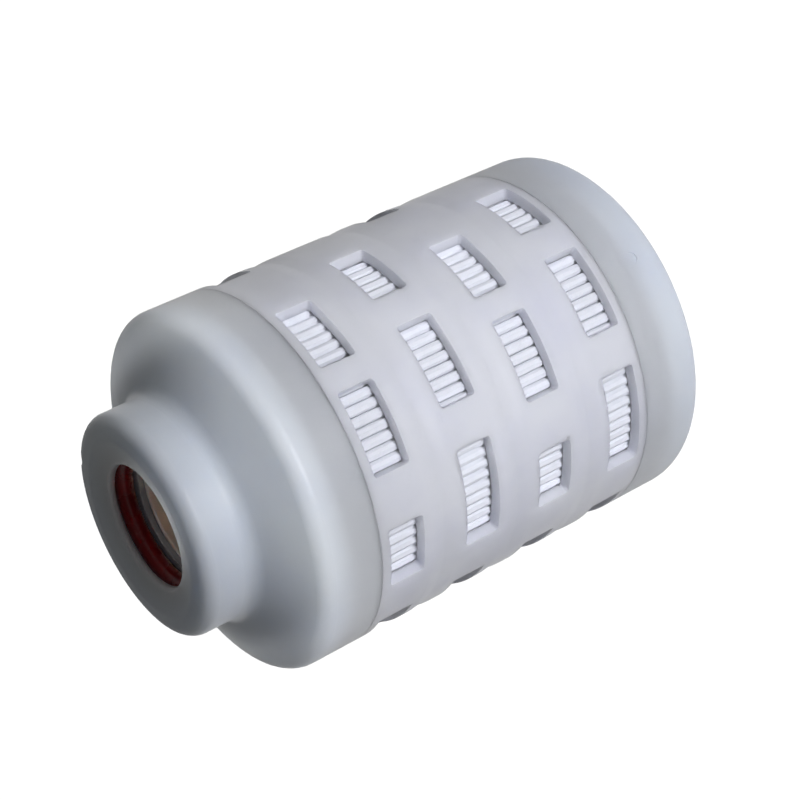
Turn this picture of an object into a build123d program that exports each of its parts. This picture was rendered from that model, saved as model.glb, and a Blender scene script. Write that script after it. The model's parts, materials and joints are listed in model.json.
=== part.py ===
"""Short pleated membrane filter cartridge with an O-ring seat inside its outlet collar.

All lengths are millimetres. The cartridge stands on its closed end: the origin is the centre of that end's
face, and +Z runs along the axis to the collar. The front of the cartridge is its -Y side.
"""

import os
from math import acos, atan2, cos, degrees, hypot, radians, sin

from build123d import *

# Outer sizes
cartridge_radius = 34.5
closed_cap_height = 14.4
cage_length = 60.9
open_cap_height = 11.65
shoulder_rise = 5.4
collar_height = 15.35
collar_radius = 21.15
collar_face_fall = 0.4

# Rounded edges of the moulded caps
shoulder_round = 3.0
foot_round = 3.5
collar_edge_round = 2.5
collar_root_round = 3.0
mouth_round = 0.6
crest_round = 2.5
joint_edge_round = 0.12

# Outlet bore, counted from the collar's face inwards
bore_radius = 11.75
lead_in_radius = 16.6
lead_in_depth = 1.2
lip_depth = 2.5
groove_width = 4.7
land_length = 1.2

# O-ring and its groove
o_ring_section = 3.53
o_ring_inner_radius = 10.91
groove_clearance = 0.06

# Reinforcing insert beyond the O-ring
insert_wall = 3.3
insert_step_radius = 11.2
insert_step_length = 2.4
insert_bore_radius = 10.5
insert_clearance = 0.02
insert_edge_chamfer = 0.25

# Outer cage, and the lap that its ends make with the caps
cage_wall = 2.3
lap_length = 5.6
lap_wall = 1.1
lap_clearance = 0.05
lap_gap = 0.2

# Windows of the cage: each row gives middle and width in degrees, turning from the front towards -X
window_height = 7.3
window_pitch = 16.63
window_corner_round = 0.6
window_row_near = (
    (-83, 24), (-29.5, 23), (3.5, 26), (43, 20), (84.5, 25), (123.5, 24), (161.5, 24), (200, 24), (238, 24),
)
window_row_next = (
    (-42, 22), (-6.5, 27), (36.5, 33), (84.5, 25), (120, 23), (154, 23), (188, 23), (222, 23), (256, 23),
)
window_rows = (window_row_next, window_row_near, window_row_next, window_row_near)

# Shallow waists of the cage between its rows of windows
waist_width = 5.6
waist_depth = 0.25

# Inner core
core_radius = 17.0
core_wall = 2.5
core_slot_rows = 6
core_slots_per_row = 8
core_slot_width = 24.0
core_slot_height = 7.0

# Pleated pack: two fleeces with the membrane between them
pleat_count = 96
support_thickness = 0.14
membrane_thickness = 0.12
layer_gap = 0.02
fold_gap = 0.12
tip_facets = 4
root_facets = 2
pack_clearance = 0.15

# Seats of the core and the pack in the caps
seat_depth = 2.0
seat_clearance = 0.05

# Small marks: the moulding mark of the closed cap, and a nick in the collar's edge
mark_radius = 1.2
mark_depth = 0.3
mark_height = 7.3
mark_turn = -9.2
nick_radius = 2.2
nick_bite = 1.1
nick_turn = -126.0

# Heights that follow from the sizes above
cage_base = closed_cap_height
cage_top = cage_base + cage_length
shoulder_height = cage_top + open_cap_height
collar_root_height = shoulder_height + shoulder_rise
total_height = shoulder_height + collar_height
collar_edge_height = total_height - collar_face_fall
closed_disc_top = closed_cap_height - lap_length - lap_gap
open_disc_base = cage_top + lap_length + lap_gap
pack_base = closed_disc_top - seat_depth
pack_top = open_disc_base + seat_depth
pack_length = pack_top - pack_base
groove_top = total_height - lip_depth
groove_base = groove_top - groove_width
insert_top = groove_base - land_length
insert_base = open_disc_base

# Radii that follow from the sizes above
cage_inner_radius = cartridge_radius - cage_wall
skirt_inner_radius = cartridge_radius - lap_wall
spigot_radius = skirt_inner_radius - lap_clearance
pack_outer_radius = cage_inner_radius - pack_clearance
pack_inner_radius = core_radius + pack_clearance
core_inner_radius = core_radius - core_wall
o_ring_centre_radius = o_ring_inner_radius + o_ring_section / 2
groove_radius = o_ring_inner_radius + o_ring_section + groove_clearance
insert_radius = insert_bore_radius + insert_wall
pocket_radius = insert_radius + insert_clearance
seat_inner_radius = core_inner_radius - seat_clearance
seat_outer_radius = pack_outer_radius + seat_clearance


def turned(turn):
    """Angle in the XY plane of a place turned from the front (-Y) towards -X."""
    return -90 - turn


def at_angle(radius, angle):
    """Point of the XY plane at a radius and an angle in degrees."""
    return (radius * cos(radians(angle)), radius * sin(radians(angle)))


def circle_edges(part, radius, height):
    """Round edges of a part with a given radius at a given height."""
    return part.edges().filter_by(GeomType.CIRCLE).filter_by(
        lambda edge: abs(edge.radius - radius) < 0.01 and abs(edge.center().Z - height) < 0.01
    )


def windows(row, inner_radius, outer_radius):
    """Blocks that reach through a round wall, drawn on the open sketch, one for each window of a row."""
    reach_in = inner_radius * 0.8
    reach_out = outer_radius * 1.2
    for middle, width in row:
        start = turned(middle) - width / 2
        end = turned(middle) + width / 2
        near = at_angle(reach_in, start), at_angle(reach_in, end)
        far = at_angle(reach_out, end), at_angle(reach_out, start)
        Polygon(*near, *far, align=None)


# Open end cap: coned shoulder, collar and stepped bore in one moulding
with BuildPart() as open_end_cap:
    with BuildSketch(Plane.XZ):
        with BuildLine():
            Polyline(
                (bore_radius, total_height - lead_in_depth),
                (lead_in_radius, total_height),
                (collar_radius, collar_edge_height),
                (collar_radius, collar_root_height),
                (cartridge_radius, shoulder_height),
                (cartridge_radius, cage_top),
                (skirt_inner_radius, cage_top),
                (skirt_inner_radius, open_disc_base),
                (seat_outer_radius, open_disc_base),
                (seat_outer_radius, pack_top),
                (seat_inner_radius, pack_top),
                (seat_inner_radius, open_disc_base),
                (pocket_radius, open_disc_base),
                (pocket_radius, insert_top),
                (bore_radius, insert_top),
                (bore_radius, groove_base),
                (groove_radius, groove_base),
                (groove_radius, groove_top),
                (bore_radius, groove_top),
                close=True,
            )
        make_face()
    revolve(axis=Axis.Z)
    fillet(circle_edges(open_end_cap, cartridge_radius, shoulder_height), shoulder_round)
    fillet(circle_edges(open_end_cap, collar_radius, collar_edge_height), collar_edge_round)
    fillet(circle_edges(open_end_cap, collar_radius, collar_root_height), collar_root_round)
    fillet(circle_edges(open_end_cap, lead_in_radius, total_height), crest_round)
    fillet(circle_edges(open_end_cap, bore_radius, total_height - lead_in_depth), mouth_round)
    fillet(circle_edges(open_end_cap, cartridge_radius, cage_top), joint_edge_round)
    # The nick bites into the middle of the collar's rounded edge
    edge_share = sin(radians(45))
    nick_reach = collar_edge_round * edge_share + nick_radius * edge_share - nick_bite * edge_share
    nick_centre = at_angle(collar_radius - collar_edge_round + nick_reach, turned(nick_turn))
    with Locations((*nick_centre, collar_edge_height - collar_edge_round + nick_reach)):
        Sphere(nick_radius, mode=Mode.SUBTRACT)

# O-ring, resting in the middle of its groove
with BuildPart() as o_ring:
    with BuildSketch(Plane.XZ):
        with Locations((o_ring_centre_radius, groove_base + groove_width / 2)):
            Circle(o_ring_section / 2)
    revolve(axis=Axis.Z)

# Insert: a stepped ring whose upper face stops the housing's post
with BuildPart() as bore_insert:
    with BuildSketch(Plane.XZ):
        with BuildLine():
            Polyline(
                (insert_bore_radius, insert_base),
                (insert_radius, insert_base),
                (insert_radius, insert_top),
                (insert_step_radius, insert_top),
                (insert_step_radius, insert_top - insert_step_length),
                (insert_bore_radius, insert_top - insert_step_length),
                close=True,
            )
        make_face()
    revolve(axis=Axis.Z)
    chamfer(circle_edges(bore_insert, insert_step_radius, insert_top), insert_edge_chamfer)
    chamfer(circle_edges(bore_insert, insert_bore_radius, insert_top - insert_step_length), insert_edge_chamfer)

# Outer cage: a sleeve with a spigot at each end, four rows of windows and a waist between rows
cage_middle = (cage_base + cage_top) / 2
row_heights = [cage_middle + window_pitch * (level - (len(window_rows) - 1) / 2) for level in range(len(window_rows))]
with BuildPart() as outer_cage:
    with BuildSketch(Plane.XZ):
        with BuildLine():
            Polyline(
                (cage_inner_radius, cage_base - lap_length),
                (spigot_radius, cage_base - lap_length),
                (spigot_radius, cage_base),
                (cartridge_radius, cage_base),
                (cartridge_radius, cage_top),
                (spigot_radius, cage_top),
                (spigot_radius, cage_top + lap_length),
                (cage_inner_radius, cage_top + lap_length),
                close=True,
            )
        make_face()
    revolve(axis=Axis.Z)
    fillet(circle_edges(outer_cage, cartridge_radius, cage_base), joint_edge_round)
    fillet(circle_edges(outer_cage, cartridge_radius, cage_top), joint_edge_round)
    for lower, upper in zip(row_heights, row_heights[1:]):
        waist = (lower + upper) / 2
        start = (cartridge_radius, waist - waist_width / 2)
        end = (cartridge_radius, waist + waist_width / 2)
        with BuildSketch(Plane.XZ):
            with BuildLine():
                Spline(start, (cartridge_radius - waist_depth, waist), end, tangents=((0, 1), (0, 1)))
                Line(end, start)
            make_face()
        revolve(axis=Axis.Z, mode=Mode.SUBTRACT)
    for row, height in zip(window_rows, row_heights):
        with BuildSketch(Plane.XY.offset(height - window_height / 2)):
            windows(row, cage_inner_radius, cartridge_radius)
        extrude(amount=window_height, mode=Mode.SUBTRACT)
    corners = outer_cage.edges().filter_by(GeomType.LINE).filter_by(
        lambda edge: abs(edge.length - cage_wall) < cage_wall / 4 and abs(edge.tangent_at(0).Z) < 0.01
    )
    fillet(corners, window_corner_round)

# Inner core: a tube with staggered rows of slots
core_slot_pitch = pack_length / (core_slot_rows + 1)
with BuildPart() as inner_core:
    with BuildSketch(Plane.XY.offset(pack_base)):
        Circle(core_radius)
        Circle(core_inner_radius, mode=Mode.SUBTRACT)
    extrude(amount=pack_length)
    for level in range(core_slot_rows):
        stagger = 180 / core_slots_per_row * (level % 2)
        row = [(360 / core_slots_per_row * count + stagger, core_slot_width) for count in range(core_slots_per_row)]
        with BuildSketch(Plane.XY.offset(pack_base + core_slot_pitch * (level + 1) - core_slot_height / 2)):
            windows(row, core_inner_radius, core_radius)
        extrude(amount=core_slot_height, mode=Mode.SUBTRACT)

# Pleats: every fold is an arc about a centre that all the layers share, and flanks run between the arcs.
# The folds are as round as they can be with a gap between one pleat and the next.
stack_half = membrane_thickness / 2 + layer_gap + support_thickness
half_pitch = 180 / pleat_count
pitch_share = sin(radians(half_pitch))
tip_radius = (pack_outer_radius * pitch_share - fold_gap / 2) / (1 + pitch_share) - stack_half
root_radius = (pack_inner_radius * pitch_share - fold_gap / 2) / (1 - pitch_share) - stack_half
tip_centre_radius = pack_outer_radius - tip_radius - stack_half
root_centre_radius = pack_inner_radius + root_radius + stack_half


def pleated_line(shift):
    """Corners of the pleated middle line, moved by a shift towards its outer side."""
    root_x, root_y = at_angle(root_centre_radius, half_pitch)
    run_x = root_x - tip_centre_radius
    span = hypot(run_x, root_y)
    tip_sweep = degrees(atan2(root_y, run_x)) - degrees(acos((tip_radius + root_radius) / span))
    root_sweep = tip_sweep - half_pitch
    points = []
    for pleat in range(pleat_count):
        tip_angle = 2 * half_pitch * pleat
        root_angle = tip_angle + half_pitch
        tip_x, tip_y = at_angle(tip_centre_radius, tip_angle)
        root_x, root_y = at_angle(root_centre_radius, root_angle)
        for facet in range(tip_facets + 1):
            x, y = at_angle(tip_radius + shift, tip_angle - tip_sweep + 2 * tip_sweep * facet / tip_facets)
            points.append((tip_x + x, tip_y + y))
        for facet in range(root_facets + 1):
            x, y = at_angle(root_radius - shift, root_angle + 180 + root_sweep - 2 * root_sweep * facet / root_facets)
            points.append((root_x + x, root_y + y))
    return points


def pleated_layer(inner_shift, outer_shift):
    """One closed pleated sheet between two shifts of the middle line, as high as the pack."""
    with BuildPart() as layer:
        with BuildSketch(Plane.XY.offset(pack_base)):
            Polygon(*pleated_line(outer_shift), align=None)
            Polygon(*pleated_line(inner_shift), align=None, mode=Mode.SUBTRACT)
        extrude(amount=pack_length)
    return layer


membrane_half = membrane_thickness / 2
inner_support_layer = pleated_layer(-stack_half, -membrane_half - layer_gap)
membrane = pleated_layer(-membrane_half, membrane_half)
outer_support_layer = pleated_layer(membrane_half + layer_gap, stack_half)

# Closed end cap: a plain disc with a skirt, and the seat of the core and the pack
with BuildPart() as closed_end_cap:
    with BuildSketch(Plane.XZ):
        with BuildLine():
            Polyline(
                (0, 0),
                (cartridge_radius, 0),
                (cartridge_radius, closed_cap_height),
                (skirt_inner_radius, closed_cap_height),
                (skirt_inner_radius, closed_disc_top),
                (seat_outer_radius, closed_disc_top),
                (seat_outer_radius, pack_base),
                (seat_inner_radius, pack_base),
                (seat_inner_radius, closed_disc_top),
                (0, closed_disc_top),
                close=True,
            )
        make_face()
    revolve(axis=Axis.Z)
    fillet(circle_edges(closed_end_cap, cartridge_radius, 0), foot_round)
    fillet(circle_edges(closed_end_cap, cartridge_radius, closed_cap_height), joint_edge_round)
    # The moulding mark is a small round dimple in the cap's side
    mark_out = at_angle(1, turned(mark_turn))
    mark_plane = Plane(
        origin=(*at_angle(cartridge_radius - mark_depth, turned(mark_turn)), mark_height), z_dir=(*mark_out, 0)
    )
    with BuildSketch(mark_plane):
        Circle(mark_radius)
    extrude(amount=2 * mark_depth, mode=Mode.SUBTRACT)

pieces = {
    "open_end_cap": open_end_cap,
    "o_ring": o_ring,
    "bore_insert": bore_insert,
    "outer_cage": outer_cage,
    "inner_core": inner_core,
    "inner_support_layer": inner_support_layer,
    "membrane": membrane,
    "outer_support_layer": outer_support_layer,
    "closed_end_cap": closed_end_cap,
}
os.makedirs("parts", exist_ok=True)
for label, piece in pieces.items():
    piece.part.label = label
    export_step(piece.part, f"parts/{label}.step")
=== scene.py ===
"""Looks of a short pleated membrane filter cartridge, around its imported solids.

The cartridge stands on its closed end, with +Z along its axis to the outlet collar. All lengths here are in
millimetres until they reach Blender, which works in metres.
"""

import logging
import math
from dataclasses import dataclass, field
from enum import Enum
from typing import Any

import bpy
from mathutils import Matrix, Vector
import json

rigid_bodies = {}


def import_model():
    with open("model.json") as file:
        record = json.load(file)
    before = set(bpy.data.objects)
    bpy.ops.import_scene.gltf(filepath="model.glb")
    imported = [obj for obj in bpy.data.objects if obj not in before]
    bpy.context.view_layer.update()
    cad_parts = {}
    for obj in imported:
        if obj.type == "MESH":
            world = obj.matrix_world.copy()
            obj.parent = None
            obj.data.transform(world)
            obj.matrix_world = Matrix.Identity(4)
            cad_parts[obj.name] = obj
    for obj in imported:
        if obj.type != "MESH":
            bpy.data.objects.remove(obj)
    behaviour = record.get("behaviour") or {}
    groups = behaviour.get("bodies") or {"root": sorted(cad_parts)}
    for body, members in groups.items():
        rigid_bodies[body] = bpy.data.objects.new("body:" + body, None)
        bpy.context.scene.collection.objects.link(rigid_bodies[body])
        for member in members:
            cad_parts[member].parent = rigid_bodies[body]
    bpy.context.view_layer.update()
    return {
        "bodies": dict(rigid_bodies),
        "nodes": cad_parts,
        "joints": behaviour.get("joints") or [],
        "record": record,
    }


MM = 0.001
LOG = logging.getLogger("cartridge")

# Numbers of the Mix node's sockets, because their names repeat for each kind of data
MIX_SHARE = 0
MIX_NUMBER_A = 2
MIX_NUMBER_B = 3
MIX_NUMBER_OUT = 0
MIX_COLOUR_A = 6
MIX_COLOUR_B = 7
MIX_COLOUR_OUT = 2

# Patterns that all finishes share
CLOUD_FROM = 0.35
CLOUD_TO = 0.7
SCUFF_MM = 6.0
SCUFF_FROM = 0.6
SCUFF_TO = 0.78
DRIFT_SHARE_OF_CLOUD = 0.6
DRIFT_FROM = 0.3
DRIFT_TO = 0.7
FIBRE_STRETCH = 0.25
COAT_ROUGHNESS = 0.12


class Surface(Enum):
    """Kinds of surface that the finishes of the cartridge have."""

    MOULDED = "moulded"
    FLEECE = "fleece"
    CAST = "cast"


def linear(code: str) -> tuple[float, float, float, float]:
    """Turns an sRGB hex colour into the linear one that Blender's sockets take.

    Args:
        code: six hex digits after a hash sign.

    Returns:
        Red, green and blue as linear light, and an alpha of 1.
    """
    channels = [int(code[place : place + 2], 16) / 255 for place in (1, 3, 5)]
    lit = [c / 12.92 if c <= 0.04045 else ((c + 0.055) / 1.055) ** 2.4 for c in channels]
    return (lit[0], lit[1], lit[2], 1.0)


def per_metre(size_mm: float) -> float:
    """Scale of a pattern on Object coordinates whose features are size_mm apart.

    Args:
        size_mm: the feature's real spacing in millimetres.

    Returns:
        The number of features in a metre, for a texture node's Scale.
    """
    return 1 / (size_mm * MM)


def add_node(
    tree: bpy.types.NodeTree,
    kind: str,
    settings: dict[str, Any] | None = None,
    values: dict[Any, Any] | None = None,
    links: dict[Any, bpy.types.NodeSocket] | None = None,
) -> bpy.types.Node:
    """Adds one node to a tree, with its settings, its socket values and its incoming links.

    Args:
        tree: the material's or world's node tree.
        kind: the node's type name in Blender.
        settings: attributes of the node itself.
        values: default values, by input name or number.
        links: outputs that feed this node, by input name or number.

    Returns:
        The new node.
    """
    node = tree.nodes.new(kind)
    for name, value in (settings or {}).items():
        setattr(node, name, value)
    for name, value in (values or {}).items():
        node.inputs[name].default_value = value
    for name, source in (links or {}).items():
        tree.links.new(source, node.inputs[name])
    return node


def add_noise(
    tree: bpy.types.NodeTree,
    place: bpy.types.NodeSocket,
    size_mm: float,
    values: dict[Any, Any],
) -> bpy.types.NodeSocket:
    """Adds a noise to a tree.

    Args:
        tree: the material's node tree.
        place: the Object coordinates.
        size_mm: the spacing of the noise's features in millimetres.
        values: the noise's other values, by input name.

    Returns:
        The noise's value, from 0 to 1.
    """
    noise = add_node(
        tree,
        "ShaderNodeTexNoise",
        {"noise_dimensions": "3D"},
        {"Scale": per_metre(size_mm), **values},
        {"Vector": place},
    )
    return noise.outputs["Fac"]


def add_range(
    tree: bpy.types.NodeTree,
    source: bpy.types.NodeSocket,
    values: dict[Any, Any],
    shape: str = "SMOOTHSTEP",
) -> bpy.types.NodeSocket:
    """Adds a map of a value's range to another range.

    Args:
        tree: the material's or world's node tree.
        source: the value that is mapped.
        values: both ends of both ranges, by input name.
        shape: the kind of curve between the ends.

    Returns:
        The mapped value.
    """
    mapped = add_node(tree, "ShaderNodeMapRange", {"interpolation_type": shape}, values, {"Value": source})
    return mapped.outputs["Result"]


@dataclass(frozen=True)
class Finish:
    """What one real material gives the eye, and how its surface was made.

    Colours are sRGB hex codes. Sizes of patterns and depths of relief are in millimetres.
    """

    name: str
    surface: Surface
    colour: str
    cloud_colour: str
    cloud_mm: float
    grain_mm: float
    grain_depth_mm: float
    wave_mm: float
    wave_depth_mm: float
    roughness: float
    roughness_spread: float
    ior: float
    scatter: float
    scatter_mm: tuple[float, float, float]
    scuff_colour: str = "#b9bbc0"
    scuff_share: float = 0.0
    coat: float = 0.0

    def material(self) -> bpy.types.Material:
        """Builds the finish as a node material on Object coordinates.

        Returns:
            The material, ready to be given to a mesh.
        """
        made = bpy.data.materials.new(self.name)
        made.use_nodes = True
        tree = made.node_tree
        tree.nodes.clear()
        place = add_node(tree, "ShaderNodeTexCoord").outputs["Object"]
        shader = add_node(
            tree,
            "ShaderNodeBsdfPrincipled",
            {"subsurface_method": "RANDOM_WALK"},
            {
                "IOR": self.ior,
                "Subsurface Weight": self.scatter,
                "Subsurface Radius": self.scatter_mm,
                "Subsurface Scale": MM,
                "Coat Weight": self.coat,
                "Coat Roughness": COAT_ROUGHNESS,
            },
            {
                "Base Color": self._colour(tree, place),
                "Roughness": self._roughness(tree, place),
                "Normal": self._relief(tree, place),
            },
        )
        add_node(tree, "ShaderNodeOutputMaterial", links={"Surface": shader.outputs["BSDF"]})
        return made

    def _colour(self, tree: bpy.types.NodeTree, place: bpy.types.NodeSocket) -> bpy.types.NodeSocket:
        """Colour of the finish: a slow clouding, and scuffs where it has been handled."""
        cloud = add_noise(tree, place, self.cloud_mm, {"Detail": 3.0, "Roughness": 0.55})
        mixed = add_node(
            tree,
            "ShaderNodeMix",
            {"data_type": "RGBA"},
            {MIX_COLOUR_A: linear(self.colour), MIX_COLOUR_B: linear(self.cloud_colour)},
            {MIX_SHARE: add_range(tree, cloud, {"From Min": CLOUD_FROM, "From Max": CLOUD_TO})},
        )
        if self.scuff_share <= 0:
            return mixed.outputs[MIX_COLOUR_OUT]
        scratch = add_noise(tree, place, SCUFF_MM, {"Detail": 6.0, "Roughness": 0.72, "Distortion": 0.6})
        worn = add_range(
            tree, scratch, {"From Min": SCUFF_FROM, "From Max": SCUFF_TO, "To Max": self.scuff_share}
        )
        scuffed = add_node(
            tree,
            "ShaderNodeMix",
            {"data_type": "RGBA"},
            {MIX_COLOUR_B: linear(self.scuff_colour)},
            {MIX_SHARE: worn, MIX_COLOUR_A: mixed.outputs[MIX_COLOUR_OUT]},
        )
        return scuffed.outputs[MIX_COLOUR_OUT]

    def _roughness(self, tree: bpy.types.NodeTree, place: bpy.types.NodeSocket) -> bpy.types.NodeSocket:
        """Roughness that drifts a little over the surface, as a moulded skin's does."""
        drift = add_noise(tree, place, self.cloud_mm * DRIFT_SHARE_OF_CLOUD, {"Detail": 4.0})
        span = {
            "From Min": DRIFT_FROM,
            "From Max": DRIFT_TO,
            "To Min": self.roughness - self.roughness_spread,
            "To Max": self.roughness + self.roughness_spread,
        }
        return add_range(tree, drift, span, "LINEAR")

    def _relief(self, tree: bpy.types.NodeTree, place: bpy.types.NodeSocket) -> bpy.types.NodeSocket:
        """Relief of the surface: slow sink marks under a fine grain, or fibres on fleece."""
        slow = add_node(
            tree,
            "ShaderNodeBump",
            values={"Strength": 1.0, "Distance": self.wave_depth_mm * MM},
            links={"Height": add_noise(tree, place, self.wave_mm, {"Detail": 1.0})},
        )
        if self.surface is Surface.FLEECE:
            stretched = add_node(
                tree,
                "ShaderNodeMapping",
                values={"Scale": (1.0, 1.0, FIBRE_STRETCH)},
                links={"Vector": place},
            )
            fine = add_node(
                tree,
                "ShaderNodeTexVoronoi",
                {"feature": "DISTANCE_TO_EDGE"},
                {"Scale": per_metre(self.grain_mm)},
                {"Vector": stretched.outputs["Vector"]},
            ).outputs["Distance"]
        else:
            fine = add_noise(tree, place, self.grain_mm, {"Detail": 2.0})
        grain = add_node(
            tree,
            "ShaderNodeBump",
            values={"Strength": 1.0, "Distance": self.grain_depth_mm * MM},
            links={"Height": fine, "Normal": slow.outputs["Normal"]},
        )
        return grain.outputs["Normal"]


# Natural polypropylene, injection moulded: a milky, waxy white with a satin skin and slow sink marks
CAP_PLASTIC = Finish(
    name="natural_polypropylene_moulded_cap",
    surface=Surface.MOULDED,
    colour="#eaf0fb",
    cloud_colour="#e4eaf6",
    cloud_mm=22.0,
    grain_mm=0.35,
    grain_depth_mm=0.006,
    wave_mm=14.0,
    wave_depth_mm=0.25,
    roughness=0.42,
    roughness_spread=0.05,
    ior=1.49,
    scatter=1.0,
    scatter_mm=(4.5, 4.5, 4.5),
    scuff_share=0.12,
)

# The same polypropylene in a thinner wall: more light passes it, so its edges look soft
CAGE_PLASTIC = Finish(
    name="natural_polypropylene_moulded_cage",
    surface=Surface.MOULDED,
    colour="#eff0fc",
    cloud_colour="#e9eaf7",
    cloud_mm=18.0,
    grain_mm=0.35,
    grain_depth_mm=0.006,
    wave_mm=9.0,
    wave_depth_mm=0.35,
    roughness=0.4,
    roughness_spread=0.06,
    ior=1.49,
    scatter=1.0,
    scatter_mm=(3.0, 3.0, 3.0),
    scuff_share=0.12,
)

# The core is the same plastic, seen only down the bore
CORE_PLASTIC = Finish(
    name="natural_polypropylene_moulded_core",
    surface=Surface.MOULDED,
    colour="#e3e5e9",
    cloud_colour="#d9dce1",
    cloud_mm=20.0,
    grain_mm=0.4,
    grain_depth_mm=0.006,
    wave_mm=12.0,
    wave_depth_mm=0.2,
    roughness=0.45,
    roughness_spread=0.05,
    ior=1.49,
    scatter=0.25,
    scatter_mm=(2.0, 2.0, 2.2),
)

# Polysulfone, turned smooth: it is amber by nature and reads as pale beige in this thickness
INSERT_PLASTIC = Finish(
    name="polysulfone_insert",
    surface=Surface.MOULDED,
    colour="#e3d0c4",
    cloud_colour="#d9c4b6",
    cloud_mm=10.0,
    grain_mm=0.5,
    grain_depth_mm=0.003,
    wave_mm=6.0,
    wave_depth_mm=0.05,
    roughness=0.3,
    roughness_spread=0.04,
    ior=1.63,
    scatter=0.8,
    scatter_mm=(4.0, 3.0, 2.4),
)

# Silicone rubber, moulded: deep red and slightly clear, with a wet-looking sheen
SEAL_RUBBER = Finish(
    name="silicone_rubber_moulded_seal",
    surface=Surface.MOULDED,
    colour="#8a1014",
    cloud_colour="#740a10",
    cloud_mm=8.0,
    grain_mm=0.3,
    grain_depth_mm=0.002,
    wave_mm=5.0,
    wave_depth_mm=0.03,
    roughness=0.28,
    roughness_spread=0.05,
    ior=1.43,
    scatter=0.15,
    scatter_mm=(1.2, 0.2, 0.15),
    coat=0.25,
)

# Spun-bonded polypropylene fleece: bright white fibres, drawn coarser than their 0.02 mm so that they show
FLEECE = Finish(
    name="spun_bonded_polypropylene_fleece",
    surface=Surface.FLEECE,
    colour="#f8f9fc",
    cloud_colour="#f4f5f9",
    cloud_mm=3.0,
    grain_mm=0.25,
    grain_depth_mm=0.02,
    wave_mm=2.5,
    wave_depth_mm=0.08,
    roughness=0.85,
    roughness_spread=0.05,
    ior=1.3,
    scatter=0.0,
    scatter_mm=(0.1, 0.1, 0.1),
)

# The membrane is cast as a film: smooth, chalky and dull
MEMBRANE = Finish(
    name="cast_microporous_membrane",
    surface=Surface.CAST,
    colour="#f3f3f1",
    cloud_colour="#ecece8",
    cloud_mm=6.0,
    grain_mm=0.2,
    grain_depth_mm=0.003,
    wave_mm=3.0,
    wave_depth_mm=0.05,
    roughness=0.7,
    roughness_spread=0.04,
    ior=1.3,
    scatter=0.0,
    scatter_mm=(0.1, 0.1, 0.1),
)


@dataclass
class CarriedPart:
    """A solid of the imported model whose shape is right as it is, and which gets its finish here."""

    node: str
    finish: Finish

    def dress(self, frame: dict[str, Any]) -> None:
        """Gives the solid its material. Its rounded edges are in the solid already.
        """
        solid = frame["nodes"][self.node]
        solid.data.materials.clear()
        solid.data.materials.append(self.finish.material())
        LOG.info("dressed %s as %s", self.node, self.finish.name)


@dataclass
class Cartridge:
    """The whole cartridge, as the list of its carried parts."""

    parts: list[CarriedPart] = field(
        default_factory=lambda: [
            CarriedPart("open_end_cap", CAP_PLASTIC),
            CarriedPart("closed_end_cap", CAP_PLASTIC),
            CarriedPart("outer_cage", CAGE_PLASTIC),
            CarriedPart("inner_core", CORE_PLASTIC),
            CarriedPart("bore_insert", INSERT_PLASTIC),
            CarriedPart("o_ring", SEAL_RUBBER),
            CarriedPart("outer_support_layer", FLEECE),
            CarriedPart("inner_support_layer", FLEECE),
            CarriedPart("membrane", MEMBRANE),
        ]
    )

    def build(self, frame: dict[str, Any]) -> None:
        """Dresses each part in order."""
        for part in self.parts:
            part.dress(frame)


@dataclass(frozen=True)
class Lamp:
    """One studio lamp: an oblong panel that looks at a point on the cartridge's axis.

    aim_mm is that point's height above the floor. azimuth turns the lamp from the front towards +X,
    elevation lifts it, and beam is the spread of its light, all in degrees.
    """

    name: str
    aim_mm: float
    azimuth: float
    elevation: float
    distance_mm: float
    width_mm: float
    height_mm: float
    watts: float
    beam: float = 180.0
    colour: str = "#ffffff"

    def place(self) -> None:
        """Hangs the lamp at its distance from the point that it looks at."""
        target = Vector((0.0, 0.0, self.aim_mm)) * MM
        turn = math.radians(self.azimuth)
        rise = math.radians(self.elevation)
        back = Vector((math.sin(turn) * math.cos(rise), -math.cos(turn) * math.cos(rise), math.sin(rise)))
        data = bpy.data.lights.new(self.name, "AREA")
        data.shape = "RECTANGLE"
        data.size = self.width_mm * MM
        data.size_y = self.height_mm * MM
        data.energy = self.watts
        data.spread = math.radians(self.beam)
        data.color = linear(self.colour)[:3]
        lamp = bpy.data.objects.new(self.name, data)
        bpy.context.scene.collection.objects.link(lamp)
        lamp.location = target + back * self.distance_mm * MM
        lamp.rotation_mode = "QUATERNION"
        lamp.rotation_quaternion = (-back).to_track_quat("-Z", "Y")
        LOG.info("hung lamp %s", self.name)


def shoulder_strip(
    name: str, aim_mm: float, azimuth: float, elevation: float, distance_mm: float, watts: float
) -> Lamp:
    """A long narrow lamp whose thin beam falls mostly on the cartridge's shoulder.

    Args:
        name: the lamp's name.
        aim_mm: height on the axis of the point that the lamp looks at.
        azimuth: turn from the front towards +X, in degrees.
        elevation: rise above the level, in degrees.
        distance_mm: distance from the point that it looks at.
        watts: power.

    Returns:
        The lamp.
    """
    return Lamp(
        name=name,
        aim_mm=aim_mm,
        azimuth=azimuth,
        elevation=elevation,
        distance_mm=distance_mm,
        width_mm=120,
        height_mm=4,
        watts=watts,
        beam=5,
    )


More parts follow.
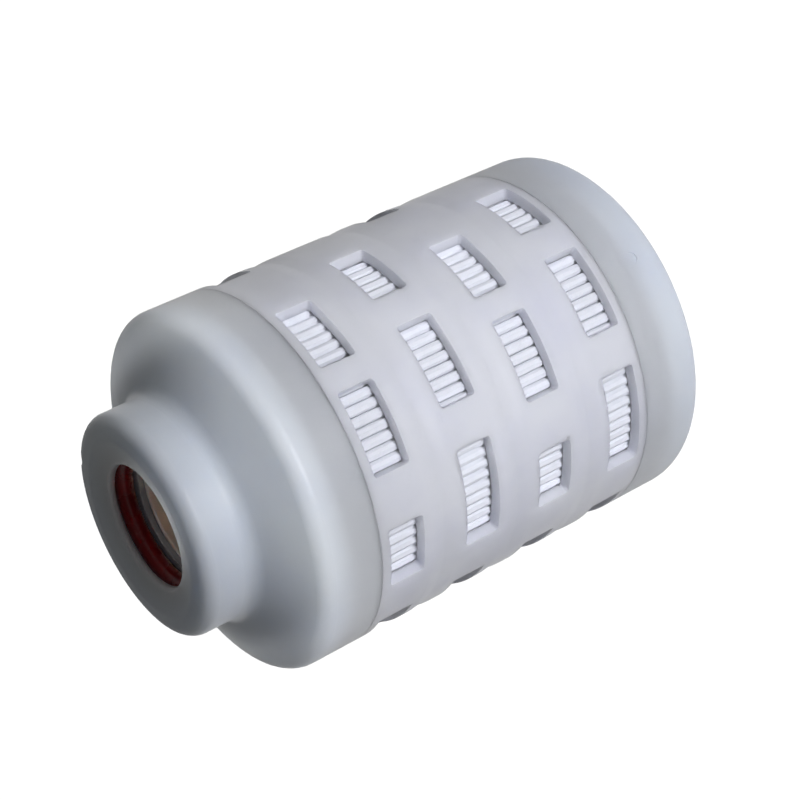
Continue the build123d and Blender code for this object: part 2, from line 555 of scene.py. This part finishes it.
@dataclass
class Studio:
    """Floor, surrounding light, lamps and camera.

    side_light is the strength of the surrounding light at the level, and top_light its strength where a
    direction's rise is top_from or more. The camera's place and direction fit the photograph's outline.
    """

    floor_mm: float = 4000.0
    floor_colour: str = "#d0d0d2"
    floor_roughness: float = 0.5
    floor_glow: float = 1.0
    camera_mm: tuple[float, float, float] = (-5.17, -334.34, 229.0)
    camera_forward: tuple[float, float, float] = (0.01588, 0.87533, -0.48326)
    camera_roll: float = -115.47
    lens_mm: float = 91.88
    sensor_mm: float = 36.0
    nearest_mm: float = 10.0
    farthest_mm: float = 20000.0
    side_light: float = 0.36
    top_light: float = 0.043
    top_from: float = 0.8
    lamps: list[Lamp] = field(
        default_factory=lambda: [
            Lamp(
                name="front_panel",
                aim_mm=40,
                azimuth=-4,
                elevation=0,
                distance_mm=420,
                width_mm=260,
                height_mm=58,
                watts=0.1,
                beam=42,
                colour="#f5f7ff",
            ),
            shoulder_strip("shoulder_strip", 72, 0, 30, 300, 0.0012),
            shoulder_strip("shoulder_strip_right", 36, 92, 60, 220, 0.0006),
            shoulder_strip("shoulder_strip_left", 36, -97, 60, 220, 0.0004),
            Lamp(
                name="bore_lamp",
                aim_mm=92,
                azimuth=0,
                elevation=62,
                distance_mm=260,
                width_mm=10,
                height_mm=10,
                watts=0.0007,
                beam=4,
            ),
        ]
    )

    def build(self) -> None:
        """Sets the view, the floor, the world, the lamps and the camera."""
        bpy.context.scene.view_settings.view_transform = "Standard"
        self._floor()
        self._world()
        for lamp in self.lamps:
            lamp.place()
        self._camera()

    def _seen_share(self, tree: bpy.types.NodeTree) -> bpy.types.NodeSocket:
        """1 for rays that the eye follows straight, by reflection or through glass, and 0 for light."""
        path = add_node(tree, "ShaderNodeLightPath")
        first = add_node(
            tree,
            "ShaderNodeMath",
            {"operation": "MAXIMUM"},
            links={0: path.outputs["Is Camera Ray"], 1: path.outputs["Is Glossy Ray"]},
        )
        both = add_node(
            tree,
            "ShaderNodeMath",
            {"operation": "MAXIMUM"},
            links={0: first.outputs[0], 1: path.outputs["Is Transmission Ray"]},
        )
        return both.outputs[0]

    def _floor(self) -> None:
        """Lays a pale floor that shows as plain white and throws soft light back at the cartridge."""
        bpy.ops.object.select_all(action="DESELECT")
        bpy.ops.mesh.primitive_plane_add(size=self.floor_mm * MM, location=(0.0, 0.0, 0.0))
        floor = bpy.context.object
        floor.name = "studio_floor"
        made = bpy.data.materials.new("studio_paper")
        made.use_nodes = True
        tree = made.node_tree
        tree.nodes.clear()
        paper = add_node(
            tree,
            "ShaderNodeBsdfDiffuse",
            values={"Color": linear(self.floor_colour), "Roughness": self.floor_roughness},
        )
        strength = add_node(
            tree,
            "ShaderNodeMath",
            {"operation": "MULTIPLY"},
            {1: self.floor_glow},
            {0: self._seen_share(tree)},
        )
        glow = add_node(tree, "ShaderNodeEmission", links={"Strength": strength.outputs[0]})
        both = add_node(
            tree, "ShaderNodeAddShader", links={0: paper.outputs["BSDF"], 1: glow.outputs["Emission"]}
        )
        add_node(tree, "ShaderNodeOutputMaterial", links={"Surface": both.outputs["Shader"]})
        floor.data.materials.append(made)

    def _world(self) -> None:
        """Lights the sides more than the top, as white screens round a bench do, and shows as white."""
        world = bpy.data.worlds.new("studio_room")
        bpy.context.scene.world = world
        world.use_nodes = True
        tree = world.node_tree
        tree.nodes.clear()
        way = add_node(tree, "ShaderNodeTexCoord").outputs["Generated"]
        split = add_node(tree, "ShaderNodeSeparateXYZ", links={0: way})
        fade = {
            "From Min": 0.0,
            "From Max": self.top_from,
            "To Min": self.side_light,
            "To Max": self.top_light,
        }
        height = add_range(tree, split.outputs["Z"], fade)
        eye = add_node(tree, "ShaderNodeLightPath").outputs["Is Camera Ray"]
        seen = add_node(
            tree,
            "ShaderNodeMix",
            {"data_type": "FLOAT"},
            {MIX_NUMBER_B: 1.0},
            {MIX_SHARE: eye, MIX_NUMBER_A: height},
        )
        sky = add_node(tree, "ShaderNodeBackground", links={"Strength": seen.outputs[MIX_NUMBER_OUT]})
        add_node(tree, "ShaderNodeOutputWorld", links={"Surface": sky.outputs["Background"]})

    def _camera(self) -> None:
        """Places the camera where the photograph was taken, with its roll."""
        data = bpy.data.cameras.new("view")
        data.sensor_width = self.sensor_mm
        data.lens = self.lens_mm
        data.clip_start = self.nearest_mm * MM
        data.clip_end = self.farthest_mm * MM
        camera = bpy.data.objects.new("view", data)
        bpy.context.scene.collection.objects.link(camera)
        forward = Vector(self.camera_forward).normalized()
        level = forward.cross(Vector((0.0, 0.0, 1.0))).normalized()
        upright = level.cross(forward)
        roll = math.radians(self.camera_roll)
        right = level * math.cos(roll) + upright * math.sin(roll)
        top = upright * math.cos(roll) - level * math.sin(roll)
        turn = Matrix((right, top, -forward)).transposed()
        camera.matrix_world = Matrix.Translation(Vector(self.camera_mm) * MM) @ turn.to_4x4()
        bpy.context.scene.camera = camera


def main() -> None:
    """Builds the cartridge's looks and its studio."""
    logging.basicConfig(level=logging.INFO, format="%(message)s")
    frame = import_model()
    Cartridge().build(frame)
    Studio().build()


if __name__ == "__main__":
    main()
